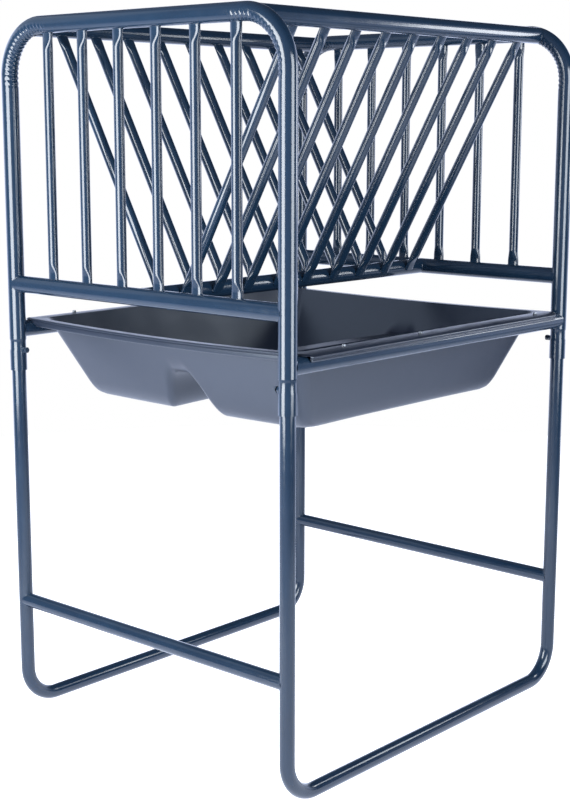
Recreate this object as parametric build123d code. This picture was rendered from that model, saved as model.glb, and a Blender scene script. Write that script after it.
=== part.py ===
from build123d import *
from math import asin, atan2, cos, hypot, sin, sqrt
import os

# Free-standing hay rack with a feed tray. Millimetres, +Z up, origin on the floor at the middle.
# X runs across the rack, Y along it. The front end frame is the one at negative Y.

# Round steel tube
large_tube = 41.3
large_wall = 1.65
small_tube = 34.9
small_wall = 1.65
bar_tube = 23.8
bar_wall = 1.5

# Overall layout, measured between tube axes
leg_spacing = 900.0
hoop_spacing = 1068.0
hoop_height = 1724.3
hoop_bend = 120.0
lower_rail_height = 1106.0
top_rail_spacing = 730.0
socket_mouth_height = 890.0
tray_rail_rise = 102.0
brace_height = 292.0
floor_bend = 89.0

# Swaged socket at the foot of each hoop leg
socket_bell_length = 48.0
socket_neck_length = 20.0
swage_length = 5.0
neck_tube = 38.9
upright_in_socket = 302.0

# Pickets of the end frames and bars of the V
picket_count = 6
picket_pitch = 122.0
rack_bar_count = 9
rack_bar_pitch = 107.7
rack_bar_stagger = 34.0
pressed_width = 31.0
pressed_thickness = 11.0
pressed_foot = 18.0
pressed_head = 20.0
press_taper = 24.0
rack_bar_offset = 20.0
rack_bar_stop = 8.0

# Feed tray, its wells drawn in by a draft from mouth to floor
tray_wall = 4.0
lip_depth = 18.5
rim_corner = 26.0
end_flange = 14.0
well_depth = 195.0
well_side_draft = 68.0
well_end_draft = 114.0
well_mouth_corner = 46.0
well_floor_corner = 30.0
well_floor_fillet = 22.0
tunnel_offset = 12.0
tunnel_foot_width = 152.0
tunnel_crown_width = 72.0
tunnel_height = 104.0
tunnel_fillet = 28.0

# Screws through the rim of the tray into its rails
tray_screw_places = (-350.0, -70.0, 420.0)
screw_diameter = 4.8
screw_length = 19.0
screw_head_flats = 8.0
screw_head_height = 4.0
screw_washer = 11.0
screw_washer_thickness = 1.0

# Set bolts that hold the height, each in a nut welded to its socket
set_bolt_rise = 52.0
set_bolt_diameter = 8.0
set_bolt_length = 12.0
set_bolt_head_flats = 13.0
set_bolt_head_height = 5.5
weld_nut_flats = 13.0
weld_nut_height = 6.3

# Clearances
weld_gap = 0.15
thread_gap = 0.05
hole_gap = 0.3
bolt_tip_gap = 0.3
tray_rail_gap = 0.35
tray_end_gap = 13.35
well_rail_gap = 4.35
lip_notch_gap = 1.5
screw_seat_gap = 0.05

# Places that follow from the sizes above
leg_x = leg_spacing / 2
hoop_y = hoop_spacing / 2
top_rail_x = top_rail_spacing / 2
bend_centre_x = leg_x - hoop_bend
bend_rise = sqrt(hoop_bend**2 - (top_rail_x - bend_centre_x) ** 2)
top_rail_height = hoop_height - hoop_bend + bend_rise
floor_run_height = small_tube / 2
socket_neck_low = socket_mouth_height + socket_bell_length + swage_length
socket_neck_high = socket_neck_low + socket_neck_length
socket_top = socket_neck_high + swage_length
upright_top = socket_mouth_height + upright_in_socket
set_bolt_height = socket_mouth_height + set_bolt_rise
envelope_top = lower_rail_height + large_tube
flat_at_foot = large_tube / 2 + pressed_foot
flat_at_head = large_tube / 2 + pressed_head
tray_rail_height = socket_mouth_height + tray_rail_rise
rim_underside = tray_rail_height + large_tube / 2 + tray_rail_gap
rim_top = rim_underside + tray_wall
rim_width = leg_spacing + large_tube + 2 * (tray_rail_gap + tray_wall)
rim_length = hoop_spacing - large_tube - 2 * tray_end_gap
well_mouth_width = leg_spacing - large_tube - 2 * well_rail_gap
well_mouth_length = rim_length - 2 * end_flange
well_floor_width = well_mouth_width - 2 * well_side_draft
well_floor_length = well_mouth_length - 2 * well_end_draft
well_floor_height = rim_top - well_depth


def rod(start, end, diameter):
    """Solid round bar from one point to another."""
    axis = Vector(*end) - Vector(*start)
    section = Plane(origin=start, z_dir=axis) * Circle(diameter / 2)
    return extrude(section, amount=axis.length, dir=axis.normalized())


def tube(start, end, diameter, wall):
    """Straight round tube, open at both ends."""
    return rod(start, end, diameter) - rod(start, end, diameter - 2 * wall)


def bent_rod(points, bend, diameter):
    """Solid round bar along straight runs joined by bends."""
    path = FilletPolyline(*points, radius=bend)
    section = Plane(origin=path @ 0, z_dir=path % 0) * Circle(diameter / 2)
    return sweep(section, path=path)


def bent_tube(points, bend, diameter, wall):
    """Round tube along straight runs joined by bends."""
    return bent_rod(points, bend, diameter) - bent_rod(points, bend, diameter - 2 * wall)


def hex_prism(flats, height):
    """Hexagonal prism on the XY plane."""
    return extrude(RegularPolygon(flats / 2, 6, major_radius=False), amount=height)


def hoop_points(y, foot):
    """Corners of a hoop's centre line, from one foot over the top to the other."""
    return [(-leg_x, y, foot), (-leg_x, y, hoop_height), (leg_x, y, hoop_height), (leg_x, y, foot)]


def hoop_envelope(y):
    """Filled shape of a hoop, grown by the weld gap, that rails are coped against."""
    return bent_rod(hoop_points(y, socket_top), hoop_bend, large_tube + 2 * weld_gap)


def leg_envelope(x, y, diameter):
    """Filled shape of one upright, grown by the weld gap."""
    return rod((x, y, floor_run_height), (x, y, envelope_top), diameter + 2 * weld_gap)


def socket(x, y):
    """Belled end of a hoop leg with the swaged neck above it, and the set bolt's hole."""
    bell = large_tube / 2
    neck = neck_tube / 2
    bell_top = socket_neck_low - swage_length
    outer = [(bell, socket_mouth_height), (bell, bell_top), (neck, socket_neck_low)]
    outer += [(neck, socket_neck_high), (bell, socket_top)]
    inner = [(radius - large_wall, height) for radius, height in reversed(outer)]
    profile = Plane.XZ * make_face(Polyline(*outer, *inner, close=True))
    sleeve = Pos(x, y, 0) * revolve(profile, axis=Axis.Z)
    hole_end = (0.0, y, set_bolt_height)
    return sleeve - rod((x, y, set_bolt_height), hole_end, set_bolt_diameter + 2 * hole_gap)


def hoop(y):
    """End frame: an upside-down U of large tube with a socket at each foot."""
    frame = bent_tube(hoop_points(y, socket_top), hoop_bend, large_tube, large_wall)
    return frame + socket(-leg_x, y) + socket(leg_x, y)


def lower_rail(y):
    """Cross rail between the legs of a hoop."""
    rail = tube((-leg_x, y, lower_rail_height), (leg_x, y, lower_rail_height), large_tube, large_wall)
    for x in (-leg_x, leg_x):
        rail -= leg_envelope(x, y, large_tube)
    return rail


def pressed_bar(length, first_flat, last_flat):
    """Small tube along +Z with both ends pressed to an oval, wide along X."""

    def body(inset):
        diameter = bar_tube - 2 * inset
        round_section = Circle(diameter / 2)
        oval = Ellipse(pressed_width / 2 - inset, pressed_thickness / 2 - inset)
        low = first_flat + press_taper
        high = length - last_flat - press_taper
        middle = Pos(0, 0, low) * extrude(round_section, amount=high - low)
        low_end = extrude(oval, amount=first_flat)
        low_taper = loft([Pos(0, 0, first_flat) * oval, Pos(0, 0, low) * round_section])
        high_end = Pos(0, 0, length - last_flat) * extrude(oval, amount=last_flat)
        high_taper = loft([Pos(0, 0, high) * round_section, Pos(0, 0, length - last_flat) * oval])
        return middle + low_end + low_taper + high_end + high_taper

    return body(0) - body(bar_wall)


def picket():
    """Upright bar of an end frame, coped to the lower rail and to the hoop's top."""
    rise = hoop_height - lower_rail_height
    bar = Pos(0, 0, lower_rail_height) * pressed_bar(rise, flat_at_foot, flat_at_head)
    for height in (lower_rail_height, hoop_height):
        bar -= rod((-leg_x, 0, height), (leg_x, 0, height), large_tube + 2 * weld_gap)
    return bar


def spread(number, count, pitch):
    """Place of one of a row of like pieces, evenly spaced about the middle."""
    return (number - (count + 1) / 2) * pitch


def top_rail(side):
    """Long rail along the top of the V, coped to both hoops."""
    x = side * top_rail_x
    rail = tube((x, -hoop_y, top_rail_height), (x, hoop_y, top_rail_height), large_tube, large_wall)
    return rail - hoop_envelope(-hoop_y) - hoop_envelope(hoop_y)


def rack_bottom_rail():
    """Long rail at the bottom of the V, coped to both lower rails."""
    rail = tube((0, -hoop_y, lower_rail_height), (0, hoop_y, lower_rail_height), large_tube, large_wall)
    for y in (-hoop_y, hoop_y):
        ends = ((-leg_x, y, lower_rail_height), (leg_x, y, lower_rail_height))
        rail -= rod(*ends, large_tube + 2 * weld_gap)
    return rail


def rack_bar(side):
    """Slanted bar of the V, from under a top rail to the flank of the bottom rail."""
    rise = top_rail_height - lower_rail_height
    reach = hypot(top_rail_x, rise)
    slant = atan2(top_rail_x, rise) - asin(rack_bar_offset / reach)
    length = sqrt(reach**2 - rack_bar_offset**2) - rack_bar_stop
    down = (-side * sin(slant), 0, -cos(slant))
    start = Plane(origin=(side * top_rail_x, 0, top_rail_height), x_dir=(0, 1, 0), z_dir=down)
    bar = start * pressed_bar(length, flat_at_head, flat_at_foot - rack_bar_stop)
    cope = large_tube + 2 * weld_gap
    for x, height in ((side * top_rail_x, top_rail_height), (0, lower_rail_height)):
        bar -= rod((x, -hoop_y, height), (x, hoop_y, height), cope)
    return bar


def tray_rail(side):
    """Long rail under the rim of the tray, coped to the hoop legs and drilled for the screws."""
    x = side * leg_x
    rail = tube((x, -hoop_y, tray_rail_height), (x, hoop_y, tray_rail_height), large_tube, large_wall)
    for y in (-hoop_y, hoop_y):
        rail -= leg_envelope(x, y, large_tube)
    return rail - screw_holes(side)


def screw_holes(side):
    """Holes for one side's tray screws, through the rim and the rail's upper wall."""
    low = tray_rail_height
    high = rim_top + tray_wall
    holes = [
        rod((side * leg_x, y, low), (side * leg_x, y, high), screw_diameter + 2 * screw_seat_gap)
        for y in tray_screw_places
    ]
    return Part() + holes


def tray_screw(x, y):
    """Self-drilling screw with a hex head on a washer."""
    seat = rim_top + screw_seat_gap
    shank = rod((x, y, seat - screw_length), (x, y, seat), screw_diameter)
    washer = rod((x, y, seat), (x, y, seat + screw_washer_thickness), screw_washer)
    head = Pos(x, y, seat + screw_washer_thickness) * hex_prism(screw_head_flats, screw_head_height)
    return shank + washer + head


def well(inset):
    """Tapered body of the tray, drawn in by an inset, with its floor edge rounded."""
    low = well_floor_height + inset
    corner_low = well_floor_corner - inset
    floor = RectangleRounded(well_floor_width - 2 * inset, well_floor_length - 2 * inset, corner_low)
    corner_high = well_mouth_corner - inset
    mouth = RectangleRounded(well_mouth_width - 2 * inset, well_mouth_length - 2 * inset, corner_high)
    body = loft([Pos(0, 0, low) * floor, Pos(0, 0, rim_top) * mouth], ruled=True)
    return fillet(body.faces().sort_by(Axis.Z)[0].edges(), well_floor_fillet - inset)


def tunnel(grow):
    """Ridge that parts the two wells, open below, grown by the wall on its inner side."""
    foot = tunnel_foot_width / 2 + grow
    crown = tunnel_crown_width / 2 + grow
    low = well_floor_height - tray_wall
    high = well_floor_height + tunnel_height + grow
    corners = [(-foot, low), (-crown, high), (crown, high), (foot, low)]
    section = make_face(Polyline(*corners, close=True))
    round_edges = section.vertices().group_by(Axis.Y)[-1]
    section = fillet(round_edges, tunnel_fillet + grow)
    ridge = extrude(Plane.XZ * section, amount=rim_length / 2, both=True)
    return Pos(tunnel_offset, 0, 0) * ridge


def rim():
    """Flat flange round the tray's mouth with a lip turned down at its outer edge."""
    outer = RectangleRounded(rim_width, rim_length, rim_corner)
    inner_corner = rim_corner - tray_wall
    inner = RectangleRounded(rim_width - 2 * tray_wall, rim_length - 2 * tray_wall, inner_corner)
    block = Pos(0, 0, rim_top - lip_depth) * extrude(outer, amount=lip_depth)
    under = Pos(0, 0, rim_top - lip_depth) * extrude(inner, amount=lip_depth - tray_wall)
    return block - under


def feed_tray():
    """Moulded tray: two wells side by side, hung by its rim on the two tray rails."""
    tray = rim() + (well(0) - tunnel(0))
    mouth = RectangleRounded(
        well_mouth_width - 2 * tray_wall,
        well_mouth_length - 2 * tray_wall,
        well_mouth_corner - tray_wall,
    )
    hollow = well(tray_wall) + Pos(0, 0, rim_top) * extrude(mouth, amount=tray_wall)
    tray -= hollow - tunnel(tray_wall)
    for side in (-1, 1):
        x = side * leg_x
        for end in (-1, 1):
            outside = (x, end * hoop_y, tray_rail_height)
            inside = (x, end * (rim_length / 2 - rim_corner), tray_rail_height)
            tray -= rod(inside, outside, large_tube + 2 * lip_notch_gap) & lip_zone()
        tray -= screw_holes(side)
    return tray


def lip_zone():
    """Space below the flange, where the end lips are notched for the rails."""
    block = Box(2 * leg_spacing, 2 * hoop_spacing, large_tube, align=(Align.CENTER, Align.CENTER, Align.MAX))
    return Pos(0, 0, rim_underside) * block


def leg_frame(side):
    """U of small tube: a floor run with an upright at each end that enters a hoop's socket."""
    x = side * leg_x
    corners = [
        (x, -hoop_y, upright_top),
        (x, -hoop_y, floor_run_height),
        (x, hoop_y, floor_run_height),
        (x, hoop_y, upright_top),
    ]
    return bent_tube(corners, floor_bend, small_tube, small_wall)


def brace(y):
    """Cross rail between the two leg frames."""
    rail = tube((-leg_x, y, brace_height), (leg_x, y, brace_height), small_tube, small_wall)
    for x in (-leg_x, leg_x):
        rail -= leg_envelope(x, y, small_tube)
    return rail


def bolt_plane(side, y):
    """Plane on a leg's axis whose normal points inwards, along the set bolt."""
    return Plane(origin=(side * leg_x, y, set_bolt_height), x_dir=(0, 1, 0), z_dir=(-side, 0, 0))


def set_bolt(side, y):
    """Hex head bolt whose tip bears on the upright inside the socket."""
    tip = small_tube / 2 + bolt_tip_gap
    seat = tip + set_bolt_length
    shank = rod((0, 0, tip), (0, 0, seat), set_bolt_diameter)
    head = Pos(0, 0, seat) * hex_prism(set_bolt_head_flats, set_bolt_head_height)
    return bolt_plane(side, y) * (shank + head)


def weld_nut(side, y):
    """Hex nut welded to the socket, its foot coped to the round tube."""
    nut = hex_prism(weld_nut_flats, large_tube / 2 + weld_nut_height)
    nut -= rod((0, 0, 0), (0, 0, large_tube), set_bolt_diameter + 2 * thread_gap)
    placed = bolt_plane(side, y) * nut
    foot = (side * leg_x, y, socket_mouth_height - weld_nut_flats)
    head = (side * leg_x, y, socket_mouth_height + socket_bell_length + large_tube)
    return placed - rod(foot, head, large_tube + 2 * weld_gap)


def group(solids):
    """Several like pieces kept as separate solids in one node."""
    return Compound(children=[piece.solid() for piece in solids])


def all_nodes():
    """Every node of the part by name."""
    ends = (("front", -hoop_y), ("rear", hoop_y))
    sides = (("left", -1), ("right", 1))
    upright_bar = picket()
    nodes = {}
    for end, y in ends:
        nodes[f"{end}_hoop"] = hoop(y)
        nodes[f"{end}_lower_rail"] = lower_rail(y)
        nodes[f"{end}_brace"] = brace(y)
        for number in range(1, picket_count + 1):
            x = spread(number, picket_count, picket_pitch)
            nodes[f"{end}_picket_{number}"] = Pos(x, y, 0) * upright_bar
        for side_name, side in sides:
            nodes[f"{end}_{side_name}_set_bolt"] = set_bolt(side, y)
    for side_name, side in sides:
        nodes[f"{side_name}_top_rail"] = top_rail(side)
        nodes[f"{side_name}_tray_rail"] = tray_rail(side)
        nodes[f"{side_name}_leg_frame"] = leg_frame(side)
        slanted_bar = rack_bar(side)
        for number in range(1, rack_bar_count + 1):
            y = spread(number, rack_bar_count, rack_bar_pitch) + side * rack_bar_stagger / 2
            nodes[f"{side_name}_rack_bar_{number}"] = Pos(0, y, 0) * slanted_bar
    nodes["rack_bottom_rail"] = rack_bottom_rail()
    nodes["feed_tray"] = feed_tray()
    nodes["tray_screws"] = group(
        tray_screw(side * leg_x, y) for _, side in sides for y in tray_screw_places
    )
    nodes["weld_nuts"] = group(weld_nut(side, y) for _, side in sides for _, y in ends)
    return nodes


os.makedirs("parts", exist_ok=True)
for name, shape in all_nodes().items():
    export_step(shape, f"parts/{name}.step")
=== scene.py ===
import math

import bpy
import numpy as np
from mathutils import Matrix, Vector


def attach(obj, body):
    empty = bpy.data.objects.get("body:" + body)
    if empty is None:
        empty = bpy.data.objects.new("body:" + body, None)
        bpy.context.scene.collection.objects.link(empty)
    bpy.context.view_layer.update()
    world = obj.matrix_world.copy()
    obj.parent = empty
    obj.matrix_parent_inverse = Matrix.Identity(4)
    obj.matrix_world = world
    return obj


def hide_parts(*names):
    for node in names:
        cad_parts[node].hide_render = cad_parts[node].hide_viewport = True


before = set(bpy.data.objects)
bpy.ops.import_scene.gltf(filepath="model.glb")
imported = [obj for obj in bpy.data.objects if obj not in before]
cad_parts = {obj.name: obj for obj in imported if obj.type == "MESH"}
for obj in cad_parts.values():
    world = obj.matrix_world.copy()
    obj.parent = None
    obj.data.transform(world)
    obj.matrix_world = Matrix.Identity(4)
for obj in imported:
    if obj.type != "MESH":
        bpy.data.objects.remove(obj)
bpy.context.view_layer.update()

# ---------------------------------------------------------------- sizes, in mm
LARGE_R = 41.3 / 2
SMALL_R = 34.9 / 2
BAR_R = 23.8 / 2
TUBE_WALL = 1.65
LEG_X = 450.0
HOOP_Y = 534.0
HOOP_HEIGHT = 1724.3
HOOP_BEND = 120.0
FLOOR_BEND = 89.0
LOWER_RAIL_Z = 1106.0
TRAY_RAIL_Z = 992.0
TOP_RAIL_X = 365.0
BRACE_Z = 292.0
SOCKET_MOUTH_Z = 890.0
UPRIGHT_TOP_Z = 1192.0
TOP_RAIL_Z = HOOP_HEIGHT - HOOP_BEND + math.sqrt(HOOP_BEND**2 - (TOP_RAIL_X - LEG_X + HOOP_BEND) ** 2)
FLOOR_RUN_Z = SMALL_R
NECK_R = 38.9 / 2
BELL_TOP_Z = SOCKET_MOUTH_Z + 48.0
SWAGE = 5.0
NECK_LOW_Z = BELL_TOP_Z + SWAGE
NECK_HIGH_Z = NECK_LOW_Z + 20.0
SOCKET_TOP_Z = NECK_HIGH_Z + SWAGE

PICKETS = 6
PICKET_PITCH = 122.0
RACK_BARS = 9
RACK_BAR_PITCH = 107.7
RACK_BAR_STAGGER = 34.0
RACK_BAR_OFFSET = 20.0
RACK_BAR_STOP = 8.0
PRESSED_HALF_WIDTH = 31.0 / 2
PRESSED_HALF_THICKNESS = 11.0 / 2
PRESSED_LOW = 18.0
PRESSED_HIGH = 20.0
PRESS_TAPER = 24.0

TRAY_WALL = 4.0
RIM_TOP_Z = 1017.0
RIM_HALF_WIDTH = 475.0
RIM_HALF_LENGTH = 500.0
RIM_CORNER = 26.0
RIM_CREST_X = 446.0
WELL_FLOOR_Z = 822.0
WELL_FLOOR_HALF = (357.0, 372.0)
WELL_FLOOR_CORNER = 30.0
WELL_MOUTH_HALF = (425.0, 479.0)
WELL_MOUTH_CORNER = 46.0
WELL_FILLET = 38.0
TUNNEL_X = 12.0
TUNNEL_HALF_FOOT = 76.0
TUNNEL_HALF_CROWN = 36.0
TUNNEL_HEIGHT = 104.0
TUNNEL_ROUND = 56.0
TUNNEL_FOOT_ROUND = 44.0
FRONT_SAG = 8.0
REAR_SAG = 5.0
SAG_START = 120.0
SAG_LENGTH = 380.0
CREST_DROP_OUT = 8.0
CREST_DROP_IN = 1.3
RIM_EDGE = 3.6
MOUTH_EDGE_DROP = 1.4

SCREW_YS = (-350.0, -70.0, 420.0)
SCREW_FLATS = 8.0
BOLT_Z = 942.0
BOLT_FLATS = 13.0
BOLT_THREAD = 11.6
NUT_THICKNESS = 6.3
SEEN_DEPTH = 60.0

# Weld beads, and how far a welded tube's drawn end goes into its neighbour
BAR_WELD = 1.5
BRACE_WELD = 1.7
RAIL_WELD = 1.9
NUT_WELD = 1.3
SEAM_SHARE = 0.998
BAR_INSET = 12.0
CROSS_INSET = 6.0
RAIL_INSET = 8.0

TUBE_SEGMENTS = 64
BAR_SEGMENTS = 48
TUBE_ROWS = 6
MILLIMETRE = 0.001

# First seed of each kind of piece
SCREW_SEED = 7
HOOP_SEEDS = {-1: 11, 1: 12}
REAR_PICKET_SEED = 300
NUT_SEED = 700
LOWER_RAIL_SEED = 800
BRACE_SEED = 900
TOP_RAIL_SEED = 1000
TRAY_RAIL_SEED = 1100
BOTTOM_RAIL_SEED = 1200
RACK_BAR_SEED = 2000


# ---------------------------------------------------------------- mesh helpers
class Shape:
    """Points and faces of one piece, gathered grid by grid, in mm."""

    def __init__(self):
        self.points = []
        self.loops = []
        self.sizes = []
        self.count = 0

    def grid(self, rows, wrap=True, flip=False):
        """Quads over an array of points (rows, columns, 3)."""
        rows = np.asarray(rows, float)
        index = self.count + np.arange(rows.shape[0] * rows.shape[1]).reshape(rows.shape[:2])
        self.points.append(rows.reshape(-1, 3))
        self.count += index.size
        low, high = index[:-1], index[1:]
        if wrap:
            quads = np.stack([low, np.roll(low, -1, 1), np.roll(high, -1, 1), high], -1)
        else:
            quads = np.stack([low[:, :-1], low[:, 1:], high[:, 1:], high[:, :-1]], -1)
        quads = quads.reshape(-1, 4)
        if flip:
            quads = quads[:, ::-1]
        self.loops.append(quads.reshape(-1))
        self.sizes.append(np.full(len(quads), 4))
        return index

    def face(self, ring, flip=False):
        """One flat polygon over a ring of points."""
        ring = np.asarray(ring, float)
        index = self.count + np.arange(len(ring))
        self.points.append(ring)
        self.count += len(ring)
        self.loops.append(index[::-1] if flip else index)
        self.sizes.append(np.array([len(ring)]))

    def piece(self, name, material, body, replaces=(), slot=None):
        """Makes the Blender object, in metres, riding on a body."""
        mesh = bpy.data.meshes.new(name)
        points = np.concatenate(self.points) * MILLIMETRE
        loops = np.concatenate(self.loops).astype(np.int32)
        sizes = np.concatenate(self.sizes).astype(np.int32)
        mesh.vertices.add(len(points))
        mesh.vertices.foreach_set("co", points.astype(np.float32).ravel())
        mesh.loops.add(len(loops))
        mesh.loops.foreach_set("vertex_index", loops)
        mesh.polygons.add(len(sizes))
        starts = np.concatenate([[0], np.cumsum(sizes)[:-1]]).astype(np.int32)
        mesh.polygons.foreach_set("loop_start", starts)
        mesh.polygons.foreach_set("use_smooth", np.ones(len(sizes), bool))
        mesh.update(calc_edges=True)
        mesh.validate()
        mesh.materials.append(material)
        obj = bpy.data.objects.new(name, mesh)
        bpy.context.scene.collection.objects.link(obj)
        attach(obj, body)
        if replaces:
            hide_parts(*replaces)
        return obj


def vec(*xyz):
    return np.array(xyz, float)


UP = vec(0, 0, 1)
ALONG_X = vec(1, 0, 0)
ALONG_Y = vec(0, 1, 0)


def unit(v):
    return v / np.linalg.norm(v, axis=-1, keepdims=True)


def smoothstep(x):
    x = np.clip(x, 0.0, 1.0)
    return x * x * (3.0 - 2.0 * x)


def angles(count):
    return np.linspace(0.0, 2 * math.pi, count, endpoint=False)


def spread(count, pitch):
    return [(k - (count - 1) / 2) * pitch for k in range(count)]


def straight_tube(shape, start, end, radius):
    """Round level tube between two points."""
    axis = unit(end - start)
    u = unit(np.cross(UP, axis))
    v = np.cross(axis, u)
    a = angles(TUBE_SEGMENTS)
    ring = radius * (np.cos(a)[:, None] * u + np.sin(a)[:, None] * v)
    stations = np.linspace(0, 1, TUBE_ROWS)
    shape.grid(start + stations[:, None, None] * (end - start) + ring[None])


def open_end(shape, centre, axis, radius, wall, depth):
    """Rounded edge of an open tube and the inside that can be seen. The axis points out of the end."""
    axis = unit(axis)
    u = unit(np.cross(axis, vec(0.3, 0.7, 0.2)))
    v = np.cross(axis, u)
    a = angles(TUBE_SEGMENTS)
    ring = np.cos(a)[:, None] * u + np.sin(a)[:, None] * v
    profile = [(radius, 0.0), (radius - 0.15, 0.35), (radius - 0.5, 0.5), (radius - wall + 0.5, 0.5)]
    profile += [(radius - wall + 0.15, 0.35), (radius - wall, 0.0), (radius - wall, -depth)]
    rows = [centre + axis * (along - 0.5) + ring * r for r, along in profile]
    shape.grid(rows)


def bead(shape, points, normal_one, normal_two, size, closed=True, ripple=2.4, seed=0):
    """Weld bead along the seam of two surfaces, with small ripples."""
    noise = np.random.default_rng(seed)
    count = len(points)
    ahead = np.roll(points, -1, 0) if closed else np.gradient(points, axis=0) + points
    behind = np.roll(points, 1, 0) if closed else points - np.gradient(points, axis=0)
    tangent = unit(ahead - behind)
    out = unit(normal_one + normal_two)
    side = unit(np.cross(tangent, out))
    out = np.cross(side, tangent)
    step = np.linalg.norm(np.diff(points, axis=0), axis=1)
    length = np.concatenate([[0], np.cumsum(step)])
    slow = 0
    for k in (1, 2, 3, 5):
        height = noise.uniform(-0.12, 0.12)
        slow = slow + height * np.sin(2 * math.pi * k * length / length[-1] + noise.uniform(0, 6))
    wave = 0.14 * np.abs(np.sin(math.pi * length / ripple + noise.uniform(0, 3)))
    radius = size * (0.85 + slow + wave)
    if not closed:
        from_start = np.arange(count)
        radius *= 0.25 + 0.75 * np.minimum(smoothstep(from_start / 3), smoothstep((count - 1 - from_start) / 3))
    a = angles(8)
    sunk = np.clip((normal_one * normal_two).sum(-1), 0.0, 1.0)
    ring = np.cos(a)[None, :, None] * out[:, None] + np.sin(a)[None, :, None] * side[:, None]
    rows = (points - out * (radius * sunk)[:, None])[:, None] + ring * radius[:, None, None]
    if closed:
        rows = np.concatenate([rows, rows[:1]])
    shape.grid(rows, flip=True)


def tee_bead(shape, centre, main, branch, main_radius, half_along, half_across, size,
             offset=0.0, curve=None, step=1.6, seed=0):
    """Weld round a branch that meets a main tube. The branch's section may be oval."""
    across = np.cross(branch, main)
    count = max(24, int(2 * math.pi * max(half_along, half_across) / step))
    a = angles(count)
    along = half_along * np.cos(a)
    side = half_across * np.sin(a)
    reach = side + offset
    if curve:
        reach = reach + along**2 / (2 * curve)
    inside = np.abs(reach) < main_radius * 0.985
    depth = np.sqrt(np.maximum(main_radius**2 - reach**2, 0.0))
    points = centre + depth[:, None] * branch + along[:, None] * main + (side + offset)[:, None] * across
    normal_main = (depth[:, None] * branch + reach[:, None] * across) / main_radius
    normal_branch = unit(np.cos(a)[:, None] / half_along * main + np.sin(a)[:, None] / half_across * across)
    if inside.all():
        bead(shape, points, normal_main, normal_branch, size, seed=seed)
        return
    first = int(np.argmax(~inside))
    order = np.roll(np.arange(count), -first)
    order = order[inside[order]]
    bead(shape, points[order], normal_main[order], normal_branch[order], size, closed=False, seed=seed)


# ---------------------------------------------------------------- hoops
WRINKLE_PITCH = 12.57
WRINKLE_DEPTH = 2.0
WRINKLE_ROWS = 8
WRINKLE_NUMBERS = range(-8, 30)
WRINKLE_LEG_LEAD = 34.0
WRINKLE_TOP_LEAD = 40.0
WRINKLE_FADE = 30.0
SOCKET_REACH = 200.0
STRAIGHT_LEG = HOOP_HEIGHT - HOOP_BEND - SOCKET_MOUTH_Z
BEND_LENGTH = HOOP_BEND * math.pi / 2
STRAIGHT_TOP = 2 * (LEG_X - HOOP_BEND)
HOOP_LENGTH = 2 * STRAIGHT_LEG + 2 * BEND_LENGTH + STRAIGHT_TOP


def hoop_path(s):
    """Centre line of a hoop in its own plane: x, z and the angle of its outward side."""
    s = np.asarray(s, float)
    x = np.empty_like(s)
    z = np.empty_like(s)
    turn = np.empty_like(s)
    first = STRAIGHT_LEG
    second = first + BEND_LENGTH
    third = second + STRAIGHT_TOP
    fourth = third + BEND_LENGTH
    left = s <= first
    x[left], z[left], turn[left] = -LEG_X, SOCKET_MOUTH_Z + s[left], math.pi
    bend = (s > first) & (s <= second)
    turn[bend] = math.pi - (s[bend] - first) / HOOP_BEND
    x[bend] = -LEG_X + HOOP_BEND + HOOP_BEND * np.cos(turn[bend])
    z[bend] = HOOP_HEIGHT - HOOP_BEND + HOOP_BEND * np.sin(turn[bend])
    top = (s > second) & (s <= third)
    x[top], z[top], turn[top] = -LEG_X + HOOP_BEND + s[top] - second, HOOP_HEIGHT, math.pi / 2
    bend = (s > third) & (s <= fourth)
    turn[bend] = math.pi / 2 - (s[bend] - third) / HOOP_BEND
    x[bend] = LEG_X - HOOP_BEND + HOOP_BEND * np.cos(turn[bend])
    z[bend] = HOOP_HEIGHT - HOOP_BEND + HOOP_BEND * np.sin(turn[bend])
    right = s > fourth
    x[right], z[right], turn[right] = LEG_X, HOOP_HEIGHT - HOOP_BEND - (s[right] - fourth), 0.0
    return x, z, turn


def socket_radius(height):
    """Outer radius of a hoop leg at a height: bell, swage, neck, swage, tube."""
    stops = [SOCKET_MOUTH_Z, BELL_TOP_Z, NECK_LOW_Z, NECK_HIGH_Z, SOCKET_TOP_Z]
    radii = [LARGE_R, LARGE_R, NECK_R, NECK_R, LARGE_R]
    return np.interp(height, stops, radii)


def wrinkle_rows(s, theta, seed):
    """Depth of the crimps on the inner side of a hoop's bends."""
    noise = np.random.default_rng(seed)
    depth = np.zeros((len(s), len(theta)))
    second_bend = STRAIGHT_LEG + BEND_LENGTH + STRAIGHT_TOP
    bends = ((STRAIGHT_LEG, WRINKLE_LEG_LEAD, WRINKLE_TOP_LEAD), (second_bend, WRINKLE_TOP_LEAD, WRINKLE_LEG_LEAD))
    for start, lead_in, lead_out in bends:
        phase = (s - start) / WRINKLE_PITCH
        number = np.floor(phase).astype(int)
        reach = {k: noise.uniform(-0.16, 0.16) for k in WRINKLE_NUMBERS}
        strength = {k: noise.uniform(0.72, 1.0) for k in WRINKLE_NUMBERS}
        extent = np.array([reach.get(k, 0.0) for k in number])
        power = np.array([strength.get(k, 0.0) for k in number])
        fade = smoothstep((s - start + lead_in) / WRINKLE_FADE)
        fade = fade * smoothstep((start + BEND_LENGTH + lead_out - s) / WRINKLE_FADE)
        zigzag = 0.14 * np.sin(4.0 * theta)[None] + 0.07 * np.sin(9.0 * theta + seed)[None]
        fold = 0.5 - 0.5 * np.cos(2 * math.pi * (phase[:, None] + zigzag))
        around = smoothstep((-np.cos(theta)[None] + 0.22 + extent[:, None]) / 0.85)
        depth += WRINKLE_DEPTH * (fade * power)[:, None] * fold * around
    return depth


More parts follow.
